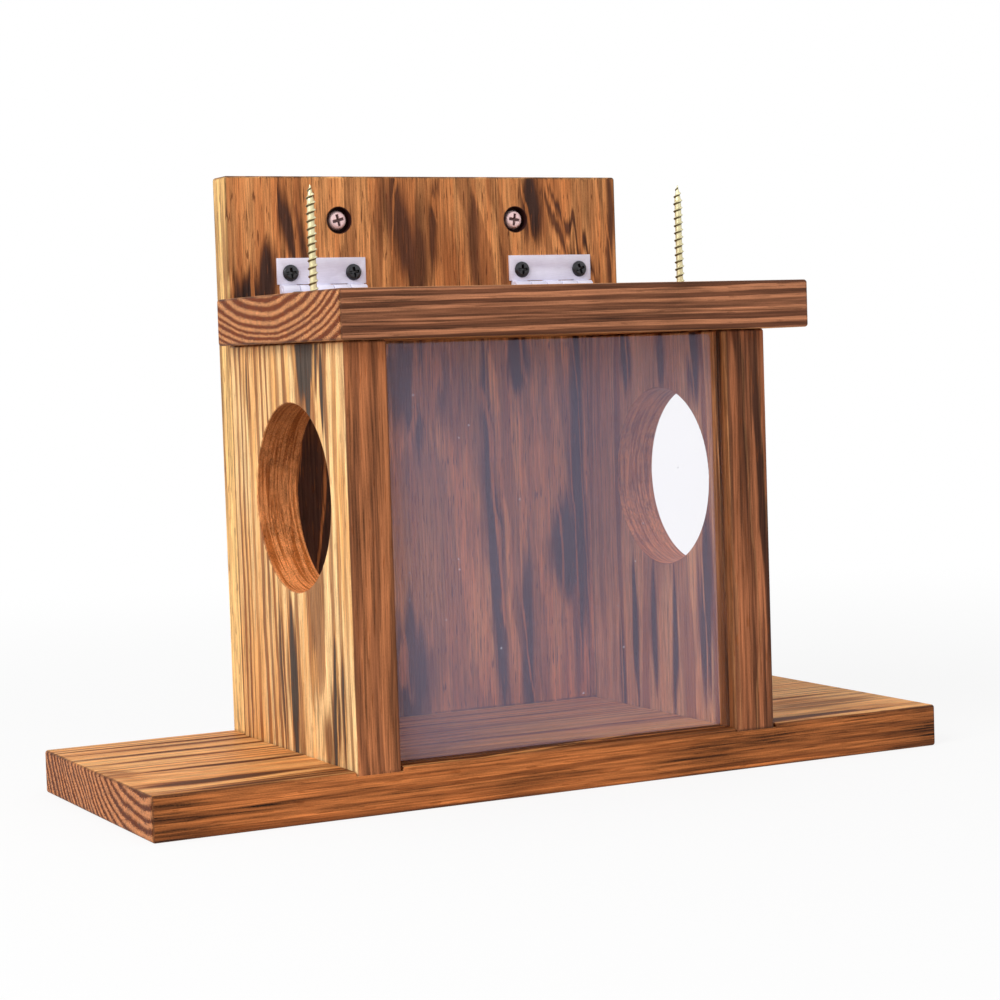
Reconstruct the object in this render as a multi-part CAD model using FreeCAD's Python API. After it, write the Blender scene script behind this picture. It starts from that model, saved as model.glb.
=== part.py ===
import FreeCAD, Part
import os

# Squirrel feeder platform: a torched pine box on a wide base board, with a hinged lid, a clear front
# window that lifts out of grooves, round entries in both sides, and corn screws standing on the lid.
# Frame: X to the right, Y to the back, Z up, origin at the centre of the base board's underside.
# All sizes are millimetres.

# Base board
base_width = 330.0
base_depth = 123.0
base_thickness = 16.5

# Box: side boards let into the base, back board standing on it
box_width = 176.0
box_height = 152.5
side_thickness = 17.0
housing_depth = 1.6
housing_clearance = 0.8
back_inset = 0.5
back_rise = 48.0
back_thickness = 13.5

# Round entry in each side board
entry_radius = 35.0
entry_setback = 51.2
entry_height = 95.3

# Lid board, which hangs over more on the right than on the left
lid_thickness = 18.0
lid_left_overhang = 5.9
lid_right_overhang = 12.5
lid_front_overhang = 11.9
lid_rear_clearance = 0.1

# Sanded edges of the boards
edge_round = 1.2
entry_round = 0.8

# Front window and the protective film on its face
window_thickness = 2.0
window_play = 0.25
window_end_clearance = 0.5
window_headroom = 1.4
groove_setback = 5.2
side_groove_depth = 5.0
base_groove_depth = 3.0
film_thickness = 0.15
film_left_inset = 1.0
film_right_inset = 4.3
film_bottom_inset = 1.2
film_top_inset = 0.3

# Butt hinges
hinge_end_inset = 45.7
hinge_width = 38.0
leaf_reach = 13.1
leaf_thickness = 1.2
leaf_shoulder = 1.0
knuckle_radius = 2.4
knuckle_clearance = 0.3
knuckle_gap = 0.3
fixed_knuckles = (0, 2, 4)
moving_knuckles = (1, 3)
pin_radius = 1.25
pin_running_clearance = 0.05
pin_overhang = 0.4
pin_end_round = 0.3

# Domed screw heads: where the dome turns down to its rim, as shares of its radius and height
dome_brow_reach = 0.75
dome_brow_height = 0.7

# Hinge screws, with domed heads
hinge_screw_spacing = 27.0
hinge_screw_reach = 7.2
hinge_screw_hole_clearance = 0.2
hinge_screw_head_radius = 3.2
hinge_screw_head_height = 1.2
hinge_screw_shank_radius = 1.5
hinge_screw_length = 11.0
hinge_screw_tip = 3.0

# Corn screws, driven up through the lid
corn_screw_end_inset = 17.7
corn_screw_setback = 63.8
corn_screw_head_radius = 4.0
corn_screw_head_rim = 0.4
corn_screw_head_recess = 0.4
corn_screw_shank_radius = 2.0
corn_screw_length = 58.0
corn_screw_tip = 6.0

# Mounting screws, in counterbores high in the back board
mounting_screw_end_inset = 47.9
mounting_screw_drop = 17.4
mounting_screw_head_radius = 3.8
mounting_screw_head_height = 2.4
mounting_screw_shank_radius = 2.0
mounting_screw_neck_radius = 2.2
mounting_screw_neck_overrun = 0.5
mounting_screw_length = 35.0
mounting_screw_tip = 5.0
counterbore_radius = 5.2
counterbore_depth = 3.6

# Countersunk screws that hold the boards together
frame_screw_head_radius = 4.0
frame_screw_head_rim = 0.4
frame_screw_head_recess = 0.5
frame_screw_shank_radius = 2.0
frame_screw_length = 40.0
frame_screw_tip = 5.0
base_screw_front_setback = 26.0
base_screw_rear_setback = 30.0
base_screw_back_end_inset = 27.5
back_screw_low = 35.0
back_screw_high = 125.0

# Planes and axes worked out from the sizes above
front_y = -base_depth / 2
rear_y = base_depth / 2
back_front_y = rear_y - back_thickness
base_top_z = base_thickness
lid_underside_z = base_top_z + box_height
lid_top_z = lid_underside_z + lid_thickness
back_top_z = lid_top_z + back_rise
back_half_width = box_width / 2 - back_inset
side_inner_x = box_width / 2 - side_thickness
side_centre_x = box_width / 2 - side_thickness / 2
leaf_seat = knuckle_radius + knuckle_clearance
hinge_y = back_front_y - leaf_seat
hinge_z = lid_top_z + leaf_seat
lid_left_x = -box_width / 2 - lid_left_overhang
lid_right_x = box_width / 2 + lid_right_overhang
lid_centre_x = (lid_left_x + lid_right_x) / 2
lid_half_width = (lid_right_x - lid_left_x) / 2
lid_front_y = front_y - lid_front_overhang
lid_rear_y = hinge_y - lid_rear_clearance
groove_front_y = front_y + groove_setback
groove_rear_y = groove_front_y + window_thickness + 2 * window_play
window_front_y = groove_front_y + window_play
window_half_width = side_inner_x + side_groove_depth - window_end_clearance
window_bottom_z = base_top_z - base_groove_depth
window_top_z = lid_underside_z - window_headroom
knuckle_count = len(fixed_knuckles) + len(moving_knuckles)
barrel_length = hinge_width - 2 * leaf_shoulder
knuckle_length = (barrel_length - (knuckle_count - 1) * knuckle_gap) / knuckle_count

X = FreeCAD.Vector(1, 0, 0)
Y = FreeCAD.Vector(0, 1, 0)
Z = FreeCAD.Vector(0, 0, 1)
SIDES = (("left", -1), ("right", 1))


def point(x, y, z):
    return FreeCAD.Vector(x, y, z)


def block(x_range, y_range, z_range):
    """A box between two values on each axis, given in either order."""
    low = [min(pair) for pair in (x_range, y_range, z_range)]
    high = [max(pair) for pair in (x_range, y_range, z_range)]
    return Part.makeBox(high[0] - low[0], high[1] - low[1], high[2] - low[2], point(*low))


def eased(solid, radius, wanted=lambda middle: True):
    """The solid with its edges rounded where wanted accepts the edge's middle point."""
    edges = [edge for edge in solid.Edges if wanted(edge.CenterOfMass)]
    return solid.makeFillet(radius, edges)


def revolved(profile):
    """A solid turned about Z from a closed profile of edges in the XZ plane."""
    return Part.Face(Part.Wire(profile)).revolve(point(0, 0, 0), Z, 360)


def polyline(points):
    return [Part.LineSegment(a, b).toShape() for a, b in zip(points, points[1:])]


def driven(solid, place, direction):
    """A screw made along +Z from the origin, moved to its place and turned along its direction."""
    solid.Placement = FreeCAD.Placement(place, FreeCAD.Rotation(Z, direction))
    return solid


def countersunk_screw(head_radius, rim, shank_radius, length, tip):
    """Flat-headed screw along +Z, with its head's flat face at the origin."""
    cone_end = rim + head_radius - shank_radius
    outline = [
        point(0, 0, 0),
        point(head_radius, 0, 0),
        point(head_radius, 0, rim),
        point(shank_radius, 0, cone_end),
        point(shank_radius, 0, length - tip),
        point(0, 0, length),
        point(0, 0, 0),
    ]
    return revolved(polyline(outline))


def domed_screw(head_radius, head_height, shank_radius, length, tip):
    """Dome-headed screw along +Z, with the seat under its head at the origin."""
    crown = point(0, 0, -head_height)
    brow = point(head_radius * dome_brow_reach, 0, -head_height * dome_brow_height)
    rim = point(head_radius, 0, 0)
    shank = [
        rim,
        point(shank_radius, 0, 0),
        point(shank_radius, 0, length - tip),
        point(0, 0, length),
        crown,
    ]
    dome = Part.Arc(crown, brow, rim).toShape()
    return revolved([dome] + polyline(shank))


def frame_screw(place, direction):
    screw = countersunk_screw(
        frame_screw_head_radius,
        frame_screw_head_rim,
        frame_screw_shank_radius,
        frame_screw_length,
        frame_screw_tip,
    )
    return driven(screw, place + direction * frame_screw_head_recess, direction)


def frame_screw_mouth(place, direction):
    """The shallow recess between a board's face and the flat of a countersunk head."""
    return Part.makeCylinder(frame_screw_head_radius, frame_screw_head_recess, place, direction)


def hinge_screw(place, direction):
    screw = domed_screw(
        hinge_screw_head_radius,
        hinge_screw_head_height,
        hinge_screw_shank_radius,
        hinge_screw_length,
        hinge_screw_tip,
    )
    return driven(screw, place, direction)


def hinge_leaf(knuckles, bore_radius):
    """Rolled leaf with its pin's axis along X at the origin, standing up, seated towards +Y."""
    inner_y = leaf_seat - leaf_thickness
    plate_foot = leaf_seat
    leaf = block((-hinge_width / 2, hinge_width / 2), (inner_y, leaf_seat), (plate_foot, leaf_reach))
    for number in knuckles:
        start = number * (knuckle_length + knuckle_gap) - barrel_length / 2
        roll = Part.makeCylinder(knuckle_radius, knuckle_length, point(start, 0, 0), X)
        corners = [
            point(start, inner_y, 0),
            point(start, knuckle_radius, 0),
            point(start, leaf_seat, plate_foot / 2),
            point(start, leaf_seat, plate_foot),
            point(start, inner_y, plate_foot),
            point(start, inner_y, 0),
        ]
        tongue = Part.Face(Part.Wire(polyline(corners))).extrude(X * knuckle_length)
        leaf = leaf.fuse([roll, tongue])
    leaf = leaf.removeSplitter()
    leaf = leaf.cut(Part.makeCylinder(bore_radius, hinge_width, point(-hinge_width / 2, 0, 0), X))
    hole_radius = hinge_screw_shank_radius + hinge_screw_hole_clearance
    for sign in (-1, 1):
        mouth = point(sign * hinge_screw_spacing / 2, inner_y, hinge_screw_reach)
        leaf = leaf.cut(Part.makeCylinder(hole_radius, leaf_thickness, mouth, Y))
    return leaf


def hinge_pin():
    length = barrel_length + 2 * pin_overhang
    pin = Part.makeCylinder(pin_radius, length, point(-length / 2, 0, 0), X)
    return eased(pin, pin_end_round, lambda middle: abs(middle.x) > barrel_length / 2)


def hinge_place(sign):
    return point(lid_centre_x + sign * (lid_half_width - hinge_end_inset), hinge_y, hinge_z)


def moved(shape, place):
    shape.translate(place)
    return shape


def board_leaf(sign):
    return moved(hinge_leaf(fixed_knuckles, pin_radius), hinge_place(sign))


def lid_leaf(sign):
    """The moving leaf: the same form laid forward on the lid, by a mirror between the two seats."""
    leaf = hinge_leaf(moving_knuckles, pin_radius + pin_running_clearance)
    return moved(leaf.mirror(point(0, 0, 0), Y + Z), hinge_place(sign))


def hinge_screw_columns(sign):
    centre = hinge_place(sign).x
    return [centre - hinge_screw_spacing / 2, centre + hinge_screw_spacing / 2]


def board_leaf_screws(sign):
    seat_y = back_front_y - leaf_thickness
    height = hinge_z + hinge_screw_reach
    return [hinge_screw(point(x, seat_y, height), Y) for x in hinge_screw_columns(sign)]


def lid_leaf_screws(sign):
    seat_z = lid_top_z + leaf_thickness
    depth = hinge_y - hinge_screw_reach
    return [hinge_screw(point(x, depth, seat_z), -Z) for x in hinge_screw_columns(sign)]


def corn_screw_foot(sign):
    x = lid_centre_x + sign * (lid_half_width - corn_screw_end_inset)
    return point(x, lid_front_y + corn_screw_setback, lid_underside_z)


def corn_screw(sign):
    screw = countersunk_screw(
        corn_screw_head_radius,
        corn_screw_head_rim,
        corn_screw_shank_radius,
        corn_screw_length,
        corn_screw_tip,
    )
    return driven(screw, corn_screw_foot(sign) + Z * corn_screw_head_recess, Z)


def mounting_screw_place(sign):
    """The seat of a mounting screw's head, on the floor of its counterbore."""
    x = sign * (back_half_width - mounting_screw_end_inset)
    return point(x, back_front_y + counterbore_depth, back_top_z - mounting_screw_drop)


def mounting_screw(sign):
    """Domed screw with a plain neck that fills the back board and ends just behind it."""
    screw = domed_screw(
        mounting_screw_head_radius,
        mounting_screw_head_height,
        mounting_screw_shank_radius,
        mounting_screw_length,
        mounting_screw_tip,
    )
    neck_length = back_thickness - counterbore_depth + mounting_screw_neck_overrun
    neck = Part.makeCylinder(mounting_screw_neck_radius, neck_length)
    return driven(screw.fuse(neck).removeSplitter(), mounting_screw_place(sign), Y)


def side_base_screw_feet(sign):
    """Where the screws up into a side board enter the base."""
    rows = (front_y + base_screw_front_setback, back_front_y - base_screw_rear_setback)
    return [point(sign * side_centre_x, y, 0) for y in rows]


def back_base_screw_feet():
    """Where the screws up into the back board enter the base."""
    reach = back_half_width - base_screw_back_end_inset
    return [point(x, rear_y - back_thickness / 2, 0) for x in (-reach, 0, reach)]


def side_back_screw_feet(sign):
    """Where the screws into a side board's rear edge enter the back board."""
    x = sign * side_centre_x
    return [point(x, rear_y, base_top_z + height) for height in (back_screw_low, back_screw_high)]


def screws_at(feet, direction):
    return [frame_screw(foot, direction) for foot in feet]


def mouths_at(feet, direction):
    return [frame_screw_mouth(foot, direction) for foot in feet]


def base_board():
    board = block((-base_width / 2, base_width / 2), (front_y, rear_y), (0, base_top_z))
    board = eased(board, edge_round)
    groove_half = side_inner_x + side_groove_depth
    groove_span = (groove_front_y, groove_rear_y)
    cuts = [block((-groove_half, groove_half), groove_span, (window_bottom_z, base_top_z))]
    for _, sign in SIDES:
        inner = sign * (side_inner_x - housing_clearance)
        outer = sign * (box_width / 2 + housing_clearance)
        cuts.append(block((inner, outer), (front_y, back_front_y), (base_top_z - housing_depth, base_top_z)))
        feet = side_base_screw_feet(sign)
        cuts += screws_at(feet, Z) + mouths_at(feet, Z)
    feet = back_base_screw_feet()
    cuts += screws_at(feet, Z) + mouths_at(feet, Z)
    return board.cut(cuts)


def side_board(sign):
    inner = sign * side_inner_x
    foot_z = base_top_z - housing_depth
    board = block((inner, sign * box_width / 2), (front_y, back_front_y), (foot_z, lid_underside_z))

    def in_view(middle):
        """True of the upright front edges and of the top edges, apart from the one at the back board."""
        upright_front = middle.y < front_y + edge_round and middle.z > foot_z + edge_round
        top = middle.z > lid_underside_z - edge_round and middle.y < back_front_y - edge_round
        return upright_front or top

    board = eased(board, edge_round, in_view)
    entry_centre = point(inner, front_y + entry_setback, base_top_z + entry_height)
    board = board.cut(Part.makeCylinder(entry_radius, side_thickness, entry_centre, X * sign))
    rims = [edge for edge in board.Edges if not edge.Degenerated and edge.Curve.TypeId == "Part::GeomCircle"]
    board = board.makeFillet(entry_round, [rim for rim in rims if rim.Curve.Radius == entry_radius])
    groove_floor = inner + sign * side_groove_depth
    groove = block((inner, groove_floor), (groove_front_y, groove_rear_y), (foot_z, lid_underside_z))
    screws = screws_at(side_base_screw_feet(sign), Z) + screws_at(side_back_screw_feet(sign), -Y)
    return board.cut([groove] + screws)


def back_board():
    board = block((-back_half_width, back_half_width), (back_front_y, rear_y), (base_top_z, back_top_z))
    board = eased(board, edge_round, lambda middle: middle.z > base_top_z + edge_round)
    cuts = screws_at(back_base_screw_feet(), Z)
    for _, sign in SIDES:
        seat = mounting_screw_place(sign)
        cuts.append(Part.makeCylinder(counterbore_radius, counterbore_depth, seat, -Y))
        cuts.append(mounting_screw(sign))
        feet = side_back_screw_feet(sign)
        cuts += screws_at(feet, -Y) + mouths_at(feet, -Y)
        cuts += board_leaf_screws(sign)
    return board.cut(cuts)


def lid_board():
    board = block((lid_left_x, lid_right_x), (lid_front_y, lid_rear_y), (lid_underside_z, lid_top_z))
    board = eased(board, edge_round)
    cuts = []
    for _, sign in SIDES:
        mouth = Part.makeCylinder(corn_screw_head_radius, corn_screw_head_recess, corn_screw_foot(sign), Z)
        cuts += [mouth, corn_screw(sign)] + lid_leaf_screws(sign)
    return board.cut(cuts)


def front_window():
    return block(
        (-window_half_width, window_half_width),
        (window_front_y, window_front_y + window_thickness),
        (window_bottom_z, window_top_z),
    )


def window_film():
    return block(
        (-side_inner_x + film_left_inset, side_inner_x - film_right_inset),
        (window_front_y - film_thickness, window_front_y),
        (base_top_z + film_bottom_inset, window_top_z - film_top_inset),
    )


def nodes():
    """Every piece of the feeder by name, with like fasteners grouped as separate solids."""
    pieces = {
        "base_board": base_board(),
        "back_board": back_board(),
        "front_window": front_window(),
        "window_film": window_film(),
        "lid_board": lid_board(),
        "back_base_screws": Part.makeCompound(screws_at(back_base_screw_feet(), Z)),
    }
    for side, sign in SIDES:
        pieces[side + "_side_board"] = side_board(sign)
        pieces[side + "_base_screws"] = Part.makeCompound(screws_at(side_base_screw_feet(sign), Z))
        pieces[side + "_back_screws"] = Part.makeCompound(screws_at(side_back_screw_feet(sign), -Y))
        pieces[side + "_hinge_board_leaf"] = board_leaf(sign)
        pieces[side + "_hinge_lid_leaf"] = lid_leaf(sign)
        pieces[side + "_hinge_pin"] = moved(hinge_pin(), hinge_place(sign))
        pieces[side + "_hinge_board_screws"] = Part.makeCompound(board_leaf_screws(sign))
        pieces[side + "_hinge_lid_screws"] = Part.makeCompound(lid_leaf_screws(sign))
        pieces[side + "_corn_screw"] = corn_screw(sign)
        pieces[side + "_mounting_screw"] = mounting_screw(sign)
    return pieces


os.makedirs("parts", exist_ok=True)
for name, shape in nodes().items():
    shape.exportStep("parts/" + name + ".step")
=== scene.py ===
"""Looks of the squirrel feeder platform: torched pine, clear sheet with its film, hinges and screws."""

import logging
import math
from dataclasses import asdict, dataclass, fields
from enum import Enum, IntEnum
from typing import Any, Callable, Optional, Union

import bmesh
import bpy
from mathutils import Matrix, Vector


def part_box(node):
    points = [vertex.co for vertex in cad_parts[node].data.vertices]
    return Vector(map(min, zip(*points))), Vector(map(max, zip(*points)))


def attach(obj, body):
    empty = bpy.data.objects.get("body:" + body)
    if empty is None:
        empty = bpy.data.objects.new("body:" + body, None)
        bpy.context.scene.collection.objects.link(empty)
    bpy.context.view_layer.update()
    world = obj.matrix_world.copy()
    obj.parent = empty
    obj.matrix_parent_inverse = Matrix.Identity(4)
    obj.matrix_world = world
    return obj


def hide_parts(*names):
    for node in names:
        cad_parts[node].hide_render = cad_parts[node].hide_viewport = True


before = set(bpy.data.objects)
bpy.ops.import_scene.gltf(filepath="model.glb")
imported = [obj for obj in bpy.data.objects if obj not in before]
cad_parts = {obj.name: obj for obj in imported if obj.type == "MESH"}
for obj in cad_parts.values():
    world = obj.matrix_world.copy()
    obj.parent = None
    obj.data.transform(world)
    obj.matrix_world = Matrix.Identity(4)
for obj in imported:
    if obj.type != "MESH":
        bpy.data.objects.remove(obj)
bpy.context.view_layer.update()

log = logging.getLogger("feeder")

MM = 0.001
RGB = tuple[float, float, float]
Place = tuple[float, float, float]
Pair = tuple[float, float]
Number = Union[int, float]

# Where the heads of the mounting screws sit in the back board, in millimetres
MOUNTING_COLUMNS = (-39.6, 39.6)
MOUNTING_FLOOR = 51.6
MOUNTING_HEIGHT = 217.6


def tone(red: int, green: int, blue: int) -> RGB:
    """A colour as it shows on a screen, in 0 to 255, turned into linear light.

    Args:
        red: Red level.
        green: Green level.
        blue: Blue level.

    Returns:
        The linear colour.
    """
    shares = (level / 255 for level in (red, green, blue))
    return tuple(s / 12.92 if s <= 0.04045 else ((s + 0.055) / 1.055) ** 2.4 for s in shares)


class Axis(IntEnum):
    """The axes of the feeder's frame."""

    X = 0
    Y = 1
    Z = 2


def math_operator(operation: str, swapped: bool = False) -> Callable[..., "Expr"]:
    """An operator of expressions, which adds a Math node.

    Args:
        operation: The node's operation.
        swapped: Whether the expression stands to the right of the other value.

    Returns:
        The operator, as a method of Expr.
    """

    def method(self: "Expr", *others: "Operand") -> "Expr":
        """Add the node to the expression's graph."""
        values = (*others, self) if swapped else (self, *others)
        return self.graph.math(operation, *values)

    return method


@dataclass(frozen=True)
class Expr:
    """A node socket that takes part in Python expressions; each operator adds a Math node."""

    graph: "Graph"
    socket: bpy.types.NodeSocket

    __add__ = math_operator("ADD")
    __radd__ = math_operator("ADD", swapped=True)
    __sub__ = math_operator("SUBTRACT")
    __rsub__ = math_operator("SUBTRACT", swapped=True)
    __mul__ = math_operator("MULTIPLY")
    __rmul__ = math_operator("MULTIPLY", swapped=True)
    __truediv__ = math_operator("DIVIDE")
    __rtruediv__ = math_operator("DIVIDE", swapped=True)
    __pow__ = math_operator("POWER")
    __rpow__ = math_operator("POWER", swapped=True)
    __abs__ = math_operator("ABSOLUTE")
    least = math_operator("MINIMUM")
    most = math_operator("MAXIMUM")
    floor = math_operator("FLOOR")

    def ease(self, low: "Operand", high: "Operand") -> "Expr":
        """A soft step from 0 at low to 1 at high, or the other way round where low is the larger.

        Args:
            low: Where the step starts.
            high: Where it ends.

        Returns:
            The step, from 0 to 1.
        """
        settings = {"interpolation_type": "SMOOTHSTEP"}
        made = self.graph.node("ShaderNodeMapRange", settings, {0: self, 1: low, 2: high})
        return self.graph.out(made)


Operand = Union[Expr, Number]


@dataclass
class Graph:
    """A shader or geometry tree that is written as expressions."""

    tree: bpy.types.NodeTree

    def node(
        self,
        kind: str,
        settings: Optional[dict[str, Any]] = None,
        sockets: Optional[dict[Union[str, int], Any]] = None,
    ) -> bpy.types.Node:
        """Add a node.

        Args:
            kind: The node's type.
            settings: Properties, set first; "curve" gives a Float Curve its points.
            sockets: Values or links by socket name or number.

        Returns:
            The new node.
        """
        made = self.tree.nodes.new(kind)
        for name, value in (settings or {}).items():
            if name == "curve":
                self._draw(made.mapping, value)
            else:
                setattr(made, name, value)
        for key, value in (sockets or {}).items():
            if isinstance(value, Expr):
                self.tree.links.new(value.socket, made.inputs[key])
            else:
                made.inputs[key].default_value = value
        return made

    @staticmethod
    def _draw(mapping: bpy.types.CurveMapping, points: list[Pair]) -> None:
        """Give a curve mapping straight runs between points.

        Args:
            mapping: The mapping of a Float Curve node.
            points: Its points, from 0 to 1 both ways.
        """
        curve = mapping.curves[0]
        for point in points[2:]:
            curve.points.new(*point)
        for made, point in zip(curve.points, points):
            made.location = point
            made.handle_type = "VECTOR"
        mapping.update()

    def out(self, made: bpy.types.Node, key: Union[str, int] = 0) -> Expr:
        """One of a node's outputs as an expression."""
        return Expr(self, made.outputs[key])

    def math(self, operation: str, *values: Operand) -> Expr:
        """A Math node on values."""
        return self.out(self.node("ShaderNodeMath", {"operation": operation}, dict(enumerate(values))))

    def vector(self, x: Operand, y: Operand, z: Operand) -> Expr:
        """Three values as a vector."""
        return self.out(self.node("ShaderNodeCombineXYZ", None, {0: x, 1: y, 2: z}))

    def parts(self, vector: Expr) -> list[Expr]:
        """A vector's three values."""
        made = self.node("ShaderNodeSeparateXYZ", None, {0: vector})
        return [self.out(made, number) for number in range(3)]

    def noise(self, x: Operand, y: Operand, z: Operand, detail: float = 2.0) -> Expr:
        """Smooth noise around 0.5 at a point, one unit to a lump.

        Args:
            x: First place value.
            y: Second place value.
            z: Third place value.
            detail: How many finer layers are added.

        Returns:
            The noise, from 0 to 1.
        """
        sockets = {"Vector": self.vector(x, y, z), "Scale": 1.0, "Detail": detail, "Roughness": 0.55}
        return self.out(self.node("ShaderNodeTexNoise", None, sockets))

    def chance(self, value: Operand) -> Expr:
        """A fixed random number from 0 to 1 for each value."""
        made = self.node("ShaderNodeTexWhiteNoise", {"noise_dimensions": "1D"}, {"W": value})
        return self.out(made)

    def blend(self, share: Operand, first: Any, second: Any) -> Expr:
        """A colour between two.

        Args:
            share: How much of the second, from 0 to 1.
            first: A colour or an expression.
            second: A colour or an expression.

        Returns:
            The colour.
        """
        colours = [c if isinstance(c, Expr) else (*c, 1.0) for c in (first, second)]
        settings = {"data_type": "RGBA", "blend_type": "MIX", "clamp_factor": True}
        return self.out(self.node("ShaderNodeMix", settings, {0: share, 6: colours[0], 7: colours[1]}), 2)

    def shaded(self, colour: Expr, factor: Operand) -> Expr:
        """A colour made lighter or darker by a factor."""
        made = self.node("ShaderNodeVectorMath", {"operation": "SCALE"}, {0: colour, "Scale": factor})
        return self.out(made)


class Paint(Graph):
    """A material's graph with its surface shader."""

    def __init__(self, name: str) -> None:
        """Make an empty material.

        Args:
            name: What the finish is for.
        """
        self.material = bpy.data.materials.new(f"{name}_finish")
        self.material.use_nodes = True
        super().__init__(self.material.node_tree)
        self.tree.nodes.clear()

    def place(self) -> list[Expr]:
        """The surface point in millimetres, on the three axes of the feeder's frame."""
        made = self.node("ShaderNodeTexCoord")
        return [part * (1 / MM) for part in self.parts(self.out(made, "Object"))]

    def facing(self) -> list[Expr]:
        """The size of the surface normal on each axis."""
        made = self.node("ShaderNodeTexCoord")
        return [abs(part) for part in self.parts(self.out(made, "Normal"))]

    def bump(self, height: Expr, depth: float, strength: float) -> Expr:
        """A normal for relief.

        Args:
            height: Height from 0 to 1.
            depth: What 1 is worth, in millimetres.
            strength: Share of the relief that shows.

        Returns:
            The normal.
        """
        sockets = {"Strength": strength, "Distance": depth * MM, "Height": height}
        return self.out(self.node("ShaderNodeBump", None, sockets))

    def surface(self, sockets: dict[str, Any]) -> bpy.types.Material:
        """Close the graph with a Principled shader.

        Args:
            sockets: The shader's values and links.

        Returns:
            The finished material.
        """
        shader = self.out(self.node("ShaderNodeBsdfPrincipled", None, sockets))
        self.node("ShaderNodeOutputMaterial", None, {"Surface": shader})
        return self.material


@dataclass(frozen=True)
class Noise:
    """A layer of noise in the wood.

    Attributes:
        along: Lumps to a millimetre along the grain.
        across: Lumps to a millimetre across it.
        detail: How many finer layers are added.
        shifted: Which place value the layer is shifted in: along, across or through.
        shift: How far, where it isn't by the board's own seed.
    """

    along: float
    across: float
    detail: float = 1.0
    shifted: int = 0
    shift: Optional[float] = None

    def read(self, paint: Paint, point: list[Expr], seed: float) -> Expr:
        """The layer at a point.

        Args:
            paint: The material's graph.
            point: Place along, across and through the board.
            seed: The board's seed.

        Returns:
            The noise around 0, from -0.5 to 0.5.
        """
        values = [value * scale for value, scale in zip(point, (self.along, self.across, self.across))]
        values[self.shifted] = values[self.shifted] + (seed if self.shift is None else self.shift)
        return paint.noise(*values, self.detail) - 0.5


class Layer(Enum):
    """The layers of noise that make up the wood, from wide bends down to grit."""

    BEND = Noise(0.007, 0.025)
    GLOW = Noise(0.018, 0.02)
    CLOUD = Noise(0.012, 0.06, 2.0, shifted=2)
    RIPPLE = Noise(0.028, 0.12, shifted=1)
    STREAK = Noise(0.010, 0.3, 4.0)
    THREAD = Noise(0.006, 0.55, 3.0)
    FIBRE = Noise(0.03, 1.1, shifted=1)
    FLECK = Noise(0.09, 1.3, 2.0)
    PORE = Noise(0.13, 1.5, 0.0, shift=7.0)
    HAIR = Noise(0.05, 2.6, 2.0, shifted=1)
    GRIT = Noise(1.3, 2.6, shift=0.0)


@dataclass(frozen=True)
class Sawing:
    """How a board lies in the log that it was sawn from; lengths in millimetres.

    Attributes:
        along: Axis of the grain.
        across: Axis across the wide face.
        through: Axis through the board.
        pith_across: Where the log's pith lies across the face.
        pith_through: Where it lies through the board.
        ring_width: Width of a ring at ring_at from the pith.
        ring_at: The distance from the pith that ring_width holds for.
        crowding: How much narrower the rings get outwards, as a power.
        flatten: How flat the rings' bows are.
        lean: How far the pith leans for each millimetre along.
        sway: How far the rings wander.
        seed: Seed of the board's noise.
    """

    along: Axis
    across: Axis
    through: Axis
    pith_across: float
    pith_through: float
    ring_width: float
    ring_at: float
    crowding: float
    lean: float
    sway: float
    seed: float
    flatten: float = 1.0


@dataclass(frozen=True)
class Stroke:
    """One pass of the torch, a burnt patch with feathered ends; on the base one such patch is painted shade
    along the window's groove; lengths in millimetres.
    """

    across: float
    along: float
    half_width: float
    half_length: float
    heat: float
    slant: float = 0.0


@dataclass(frozen=True)
class Bore:
    """A round hole in a board, its wall burnt dark with painted shade, or sanded brown, down to a floor;
    lengths in millimetres.
    """

    across: float
    along: float
    radius: float
    floor: float = 1000.0
    sanded: bool = False


@dataclass(frozen=True)
class PineTones:
    """The colours of one board: its wide faces, narrow faces, ends, burns and hole walls."""

    pale: RGB = tone(253, 209, 148)
    amber: RGB = tone(228, 167, 102)
    ring: RGB = tone(130, 64, 18)
    edge_pale: RGB = tone(172, 106, 66)
    edge_ring: RGB = tone(112, 66, 42)
    end_pale: RGB = tone(194, 126, 80)
    end_ring: RGB = tone(94, 40, 8)
    ember: RGB = tone(136, 86, 50)
    char: RGB = tone(78, 66, 58)
    wall: RGB = tone(192, 122, 72)
    # Dark of unsanded hole walls: burnt wood with painted shade in the hole
    sunk: RGB = tone(48, 22, 20)
    scorch: RGB = tone(72, 44, 30)


@dataclass(frozen=True)
class Figure:
    """How strongly a board shows its growth rings and its grain.

    Attributes:
        late: Dark share of a ring.
        contrast: How dark the rings are on the wide faces.
        edge_contrast: How dark they are on the narrow faces.
        scatter: How much is burnt outside the strokes.
        patchwork: How much the burn differs from ring to ring.
        even: How alike the rings are.
        pores: How dark the pores are.
        grain: How strong the fine grain is.
        ripening: How much more amber the wood is with each millimetre across.
        far_burn: Share of a burn that the far face shows.
        edge_burn: Share of a burn that the narrow faces show.
        end_shade: How much darker the narrow faces get away from bright_at.
        bright_at: Where along the board the narrow faces are brightest, in millimetres.
        low_painted_light: How much painted light a standing board gets lower down, inside the feeder.
    """

    late: float
    contrast: float
    edge_contrast: float
    scatter: float
    patchwork: float
    even: float = 0.15
    pores: float = 0.4
    grain: float = 1.0
    ripening: float = 0.0
    far_burn: float = 1.0
    edge_burn: float = 0.5
    end_shade: float = 0.0
    bright_at: float = 0.0
    low_painted_light: float = 0.0


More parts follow.
